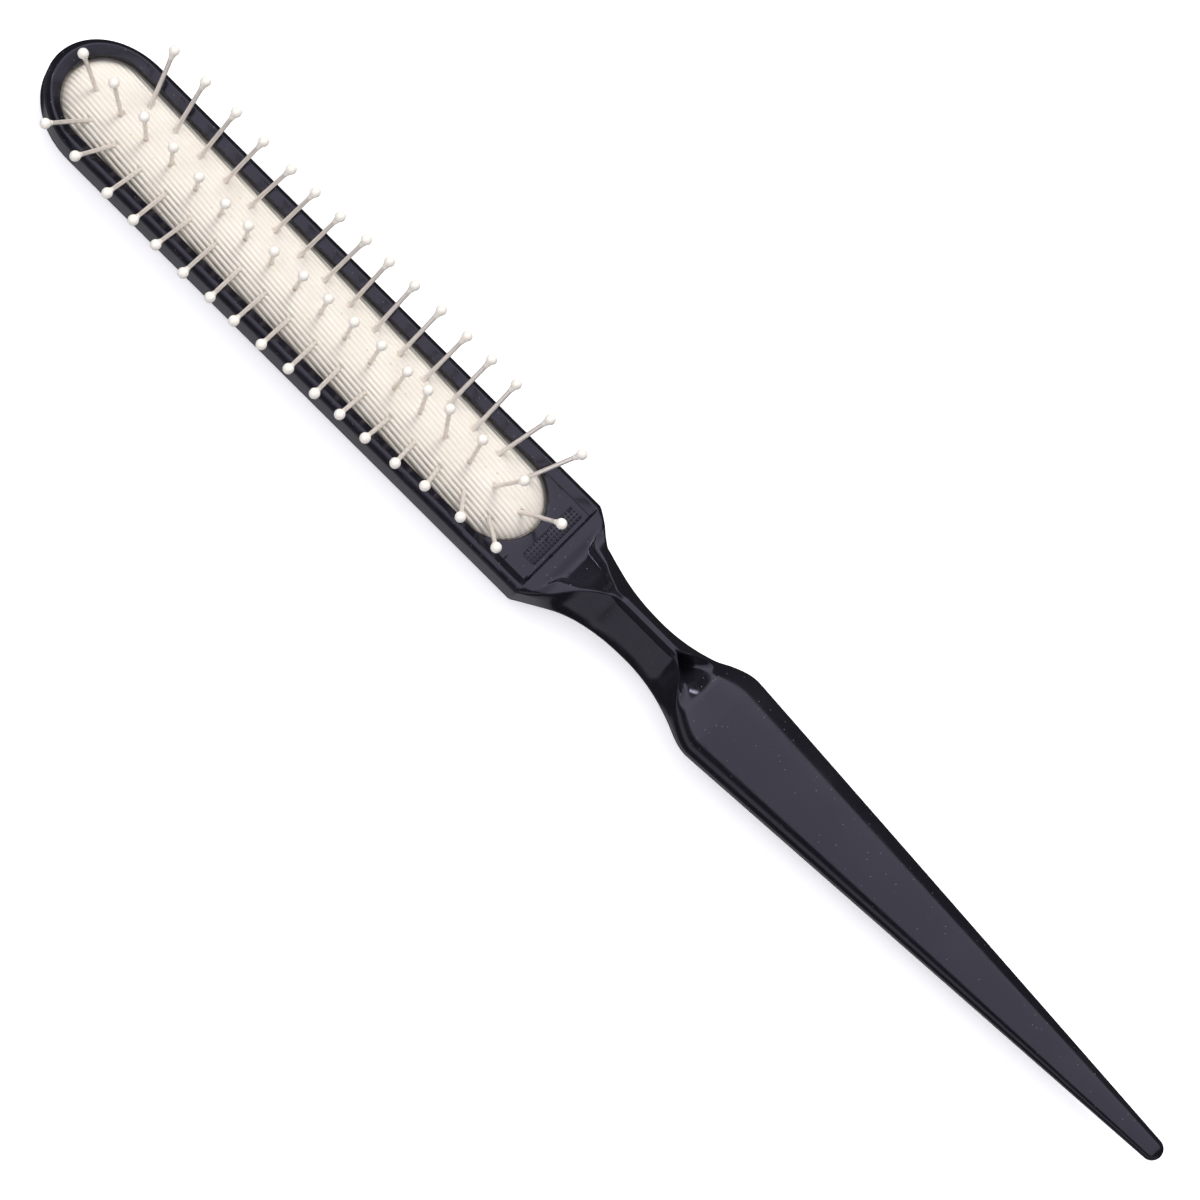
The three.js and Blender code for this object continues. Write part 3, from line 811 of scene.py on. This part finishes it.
def cushion_height(x, y):
    """The rubber's upper face: crown, ribs, a soft edge and the dimples round the pins."""
    past = max(POCKET_START_X - x, x - POCKET_END_X, 0)
    outness = (past / CUSHION_REACH) ** 2 + (y / CUSHION_HALF) ** 2
    height = CUSHION_EDGE + CUSHION_CROWN * (1 - outness**2)
    phase = (y + RIB_SKEW * x) / RIB_PITCH
    groove = (0.5 - 0.5 * math.cos(2 * math.pi * phase)) ** RIB_POWER
    ribbed = RIB_DEPTH * (1 - groove) * ease(1.0 - outness, 0.0, 0.06)
    near = roots[np.abs(roots[:, 0] - x) < 2]
    sink = 0.0
    for root in near:
        away = math.hypot(x - root[0], y - root[1]) / DIMPLE_RADIUS
        if away < 2.5:
            lip = DIMPLE_LIP * math.exp(-((away - 1.4) * 2.2) ** 2)
            sink += DIMPLE_DEPTH * math.exp(-away * away) - lip
    return height - RIB_DEPTH + ribbed - sink


END_COLUMNS = 26
STRAIGHT_COLUMNS = 300
CUSHION_ROWS = 112
end_turns = np.linspace(0, math.pi / 2, END_COLUMNS)[1:-1]
cushion_columns = np.concatenate([
    POCKET_START_X - CUSHION_REACH * np.sin(end_turns[::-1]),
    np.linspace(POCKET_START_X, POCKET_END_X, STRAIGHT_COLUMNS),
    POCKET_END_X + CUSHION_REACH * np.sin(end_turns),
])
shares = np.sin(np.linspace(-math.pi / 2, math.pi / 2, CUSHION_ROWS))
shares = 0.25 * shares + 0.75 * np.linspace(-1, 1, CUSHION_ROWS)
points = []
for x in cushion_columns:
    half = cushion_half(x)
    for share in shares:
        points.append((x, share * half, cushion_height(x, share * half)))
faces = []
for c in range(len(cushion_columns) - 1):
    for r in range(CUSHION_ROWS - 1):
        a = c * CUSHION_ROWS + r
        faces.append((a, a + CUSHION_ROWS, a + CUSHION_ROWS + 1, a + 1))
last_column = (len(cushion_columns) - 1) * CUSHION_ROWS
outline = [c * CUSHION_ROWS for c in range(len(cushion_columns))]
outline += [last_column + r for r in range(1, CUSHION_ROWS)]
outline += [c * CUSHION_ROWS + CUSHION_ROWS - 1 for c in reversed(range(len(cushion_columns) - 1))]
outline += list(reversed(range(1, CUSHION_ROWS - 1)))


def skirt(points, faces, loop, steps):
    """Carries a closed outline outwards and down in steps, then closes it underneath."""
    rim = [Vector(points[i]) for i in loop]
    outs = []
    for p in rim:
        axis_x = min(max(p.x, POCKET_START_X), POCKET_END_X)
        outs.append((Vector((p.x, p.y)) - Vector((axis_x, 0))).normalized())
    above = list(loop)
    for out, z in steps:
        ring = []
        for p, way in zip(rim, outs):
            ring.append(len(points))
            points.append((p.x + out * way.x, p.y + out * way.y, z))
        for i in range(len(loop)):
            j = (i + 1) % len(loop)
            faces.append((above[i], ring[i], ring[j], above[j]))
        above = ring
    faces.append(tuple(reversed(above)))


skirt(points, faces, outline, [
    (0.06, CUSHION_EDGE - 0.22), (0.06, BEAD_TOP), (BEAD_OUT - BEAD_ROUND, BEAD_TOP),
    (BEAD_OUT, BEAD_TOP - BEAD_ROUND), (BEAD_OUT, BEAD_FOOT + BEAD_ROUND),
    (BEAD_OUT - BEAD_ROUND, BEAD_FOOT),
])

rubber, nodes, shader = new_material("ivory_rubber")
place = nodes.add("ShaderNodeTexCoord").outputs["Object"]
cloud = nodes.add("ShaderNodeTexNoise")
nodes.feed(cloud.inputs["Vector"], place)
nodes.feed(cloud.inputs["Scale"], 220.0)
nodes.feed(cloud.inputs["Detail"], 6.0)
grain = nodes.add("ShaderNodeTexNoise")
nodes.feed(grain.inputs["Vector"], place)
nodes.feed(grain.inputs["Scale"], 9000.0)
nodes.feed(grain.inputs["Detail"], 2.0)
dust = placed(nodes, DUST, Speck_Scale=1100.0, Film=0.12)
scuffs = placed(nodes, HAIRLINES, Fineness=260.0, Amount=0.35)
mottle = nodes.ramp(cloud.outputs["Fac"], 0.3, 0.7)
tone = nodes.blend(mottle, (0.77, 0.72, 0.62, 1), (0.83, 0.785, 0.69, 1))
tone = nodes.blend(dust.outputs["Mask"], tone, (0.6, 0.52, 0.43, 1))
# Painted shade: the rubber's colour is darkened to a dark brown in its hollows (the dimples round the
# pins) and, in uneven patches, along the grooves between the ribs. The darkening is strongest on the -Y
# side and fades towards +Y, standing in for the shade that light grazing that side leaves in the
# grooves.
hollows = nodes.ramp(nodes.add("ShaderNodeNewGeometry").outputs["Pointiness"], 0.43, 0.505, 0.9, 0)
across_pad = nodes.add("ShaderNodeSeparateXYZ")
nodes.feed(across_pad.inputs[0], place)
# How much of the painted shade falls across the pad: full at the -Y edge, little from the middle
# towards +Y.
painted_shade_side = nodes.ramp(across_pad.outputs[1], -0.0062, 0.001, 1.0, 0.12)
phase = nodes.maths("MULTIPLY_ADD", across_pad.outputs[0], RIB_SKEW, across_pad.outputs[1])
wave = nodes.maths("COSINE", nodes.maths("MULTIPLY", phase, 2 * math.pi / (RIB_PITCH * MM)))
groove = nodes.maths("POWER", nodes.maths("MULTIPLY_ADD", wave, -0.5, 0.5), RIB_POWER)
patchy = nodes.ramp(cloud.outputs["Fac"], 0.35, 0.65, 0.5, 1.0)
groove = nodes.maths("MULTIPLY", nodes.maths("MULTIPLY", groove, painted_shade_side), patchy)
hollows = nodes.maths("MAXIMUM", nodes.maths("MULTIPLY", hollows, painted_shade_side), groove)
# The dark brown mixed in here is painted shade, not a colour of the rubber.
nodes.feed(shader.inputs["Base Color"], nodes.blend(hollows, tone, (0.2, 0.17, 0.13, 1)))
nodes.feed(shader.inputs["Roughness"], nodes.ramp(cloud.outputs["Fac"], 0.3, 0.7, 0.62, 0.74))
nodes.feed(shader.inputs["Subsurface Weight"], 0.12)
nodes.feed(shader.inputs["Subsurface Radius"], (1.0, 0.7, 0.45))
nodes.feed(shader.inputs["Subsurface Scale"], 0.0006)
bloom = nodes.add("ShaderNodeBump")
nodes.feed(bloom.inputs["Strength"], 0.3)
nodes.feed(bloom.inputs["Distance"], 0.00003)
nodes.feed(bloom.inputs["Height"], nodes.maths("ADD", grain.outputs["Fac"], scuffs.outputs["Height"]))
nodes.feed(shader.inputs["Normal"], bloom.outputs["Normal"])

cushion = new_piece("rubber_pad", points, faces, rubber)
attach(cushion, "brush")
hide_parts("rubber_cushion")

# ---------------------------------------------------------------- pins
# Bright drawn steel wire with a flattened head under the rubber, and a bead of ivory resin dipped on
# the tip. Each rocks about a point in the thickness of the rubber.

WIRE_RADIUS = 0.34
HEAD_RADIUS = 0.7
PIN_BELOW = 3.2
PIN_STAND = 10.3
BALL_RADIUS = 0.82
BEND = 0.1  # how far a wire bows, and how the bow turns from pin to pin
BEND_TURN = 2.4
WIRE_SIDES = 12
TIP_SIDES = 16


def turned_shape(profile, sides, bend, bend_turn):
    """Points and faces of a turned shape about +Z; the wire bows a little to one side."""
    points = []
    faces = []
    for radius, height in profile:
        bow = bend * (max(height, 0) / PIN_STAND) ** 2
        cx, cy = bow * math.cos(bend_turn), bow * math.sin(bend_turn)
        if radius == 0:
            points.append((cx, cy, height))
            continue
        for i in range(sides):
            turn = 2 * math.pi * i / sides
            points.append((cx + radius * math.cos(turn), cy + radius * math.sin(turn), height))
    for ring in range(len(profile) - 3):
        for i in range(sides):
            a, b = 1 + ring * sides + i, 1 + ring * sides + (i + 1) % sides
            faces.append((a, b, b + sides, a + sides))
    last = len(points) - 1
    for i in range(sides):
        j = (i + 1) % sides
        faces.append((0, 1 + j, 1 + i))
        faces.append((last, last - sides + i, last - sides + j))
    return points, faces


wire_profile = [
    (0, -PIN_BELOW), (HEAD_RADIUS - 0.08, -PIN_BELOW), (HEAD_RADIUS, -PIN_BELOW + 0.1),
    (HEAD_RADIUS, -PIN_BELOW + 0.28), (HEAD_RADIUS - 0.1, -PIN_BELOW + 0.38),
    (WIRE_RADIUS + 0.04, -PIN_BELOW + 0.44), (WIRE_RADIUS, -PIN_BELOW + 0.6),
]
wire_profile += [(WIRE_RADIUS, h) for h in (-1, 1, 3, 5, 7, 8.5, PIN_STAND - 0.5)]
wire_profile += [(WIRE_RADIUS - 0.1, PIN_STAND - 0.3), (0, PIN_STAND - 0.28)]

COLLAR_FOOT = PIN_STAND - 1.45
tip_profile = [(0, COLLAR_FOOT + 0.05), (WIRE_RADIUS - 0.02, COLLAR_FOOT + 0.02),
               (WIRE_RADIUS + 0.06, COLLAR_FOOT), (WIRE_RADIUS + 0.1, COLLAR_FOOT + 0.25)]
for degrees in range(-50, 90, 12):
    turn = math.radians(degrees)
    tip_profile.append((BALL_RADIUS * math.cos(turn), PIN_STAND + BALL_RADIUS * math.sin(turn)))
tip_profile.append((0, PIN_STAND + BALL_RADIUS))

steel, nodes, shader = new_material("pin_steel")
scuffs = placed(nodes, HAIRLINES, Fineness=900.0, Amount=0.8)
dust = placed(nodes, DUST, Speck_Scale=2500.0, Film=0.1)
drawn = nodes.add("ShaderNodeTexNoise")
stretched = nodes.add("ShaderNodeMapping")
nodes.feed(stretched.inputs["Vector"], nodes.add("ShaderNodeTexCoord").outputs["Object"])
nodes.feed(stretched.inputs["Scale"], (1.0, 1.0, 0.04))
nodes.feed(drawn.inputs["Vector"], stretched.outputs[0])
nodes.feed(drawn.inputs["Scale"], 9000.0)
nodes.feed(drawn.inputs["Detail"], 2.0)
tone = nodes.blend(drawn.outputs["Fac"], (0.72, 0.66, 0.59, 1), (0.86, 0.81, 0.74, 1))
nodes.feed(shader.inputs["Base Color"], nodes.blend(dust.outputs["Mask"], tone, (0.45, 0.4, 0.34, 1)))
nodes.feed(shader.inputs["Metallic"], 0.5)
wear = nodes.maths("MULTIPLY", scuffs.outputs["Mask"], 0.15)
rough = nodes.ramp(drawn.outputs["Fac"], 0.3, 0.7, 0.26, 0.36)
nodes.feed(shader.inputs["Roughness"], nodes.maths("ADD", rough, wear))
drawing_lines = nodes.add("ShaderNodeBump")
nodes.feed(drawing_lines.inputs["Strength"], 0.25)
nodes.feed(drawing_lines.inputs["Distance"], 0.00002)
nodes.feed(drawing_lines.inputs["Height"], drawn.outputs["Fac"])
nodes.feed(shader.inputs["Normal"], drawing_lines.outputs["Normal"])

resin, nodes, shader = new_material("ivory_resin")
scuffs = placed(nodes, HAIRLINES, Fineness=700.0, Amount=0.5)
dust = placed(nodes, DUST, Speck_Scale=1800.0, Film=0.08)
haze = nodes.add("ShaderNodeTexNoise")
nodes.feed(haze.inputs["Vector"], nodes.add("ShaderNodeTexCoord").outputs["Object"])
nodes.feed(haze.inputs["Scale"], 1400.0)
tone = nodes.blend(haze.outputs["Fac"], (0.82, 0.78, 0.68, 1), (0.9, 0.87, 0.79, 1))
nodes.feed(shader.inputs["Base Color"], nodes.blend(dust.outputs["Mask"], tone, (0.6, 0.52, 0.42, 1)))
nodes.feed(shader.inputs["Roughness"],
           nodes.maths("ADD", nodes.ramp(haze.outputs["Fac"], 0.3, 0.7, 0.22, 0.32),
                       nodes.maths("MULTIPLY", scuffs.outputs["Mask"], 0.2)))
nodes.feed(shader.inputs["Subsurface Weight"], 0.2)
nodes.feed(shader.inputs["Subsurface Radius"], (1.0, 0.75, 0.5))
nodes.feed(shader.inputs["Subsurface Scale"], 0.0004)

for number, (node, pivot, lean, body) in enumerate(pins):
    bend_turn = BEND_TURN * number
    root = (pivot + PIVOT_BELOW * lean) * MM
    stand = Matrix.Translation(root) @ lean.to_track_quat("Z", "Y").to_matrix().to_4x4()
    wire_shape = turned_shape(wire_profile, WIRE_SIDES, BEND, bend_turn)
    tip_shape = turned_shape(tip_profile, TIP_SIDES, BEND, bend_turn)
    wire = new_piece(node.replace("pin", "wire"), *wire_shape, steel)
    tip = new_piece(node.replace("pin", "tip"), *tip_shape, resin)
    for piece in (wire, tip):
        piece.matrix_world = stand
        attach(piece, body)
    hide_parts(node)
